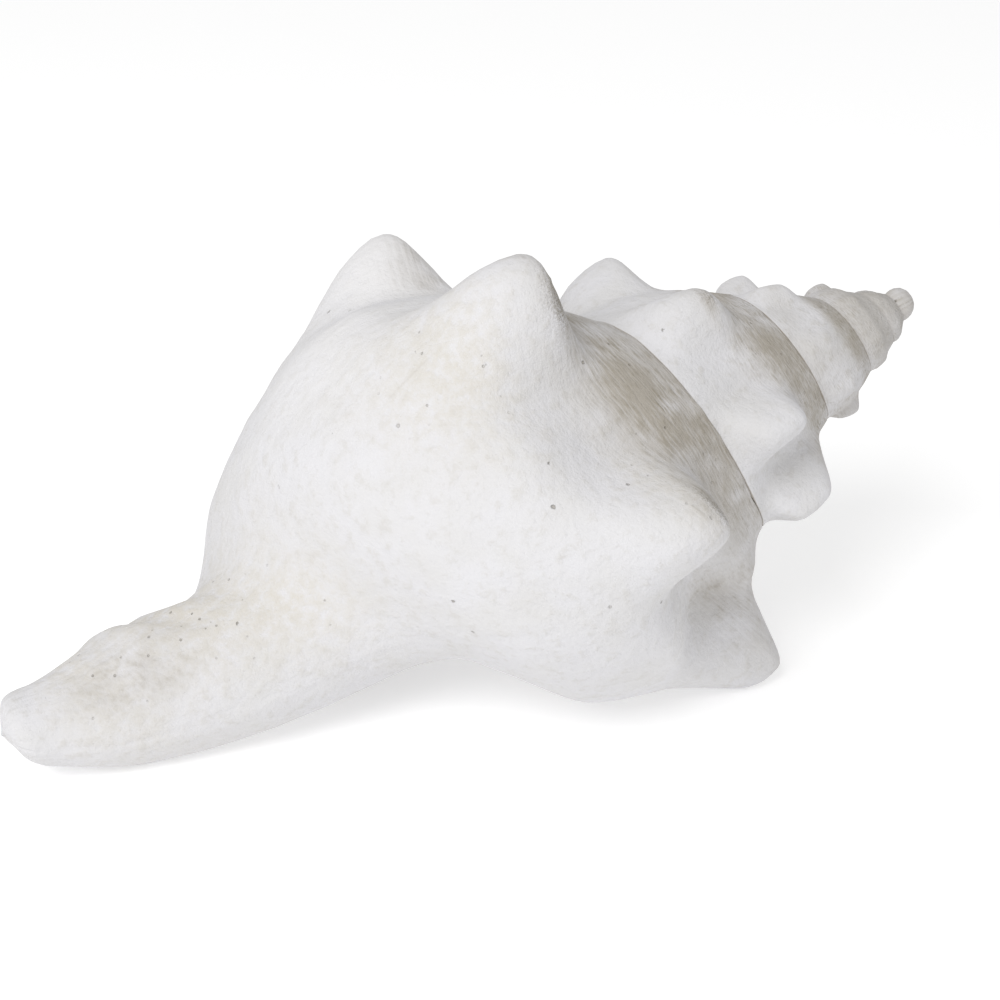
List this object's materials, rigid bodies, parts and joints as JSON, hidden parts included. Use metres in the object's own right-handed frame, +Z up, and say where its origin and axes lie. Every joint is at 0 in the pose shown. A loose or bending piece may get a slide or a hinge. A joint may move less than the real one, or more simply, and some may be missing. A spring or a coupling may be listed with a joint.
{
  "type": "conch shell",
  "caption": "Large knobbed sea shell with a pointed spire, a wide mouth and a long canal, bleached chalky white, lying on its mouth.",
  "frame": {"origin": "on the table under the middle of the shell's box", "axes": "+Z up from the table; +X along the table towards the apex; the knob that stands on the table by the near side faces -Y"},
  "size_m": [0.2448, 0.1478, 0.1238],
  "materials": {
    "chalky_shell": "matt chalky white, with warm grey dirt beside the sutures and in the pits"
  },
  "bodies": {
    "root": {"shell": "chalky_shell"}
  },
  "joints": []
}
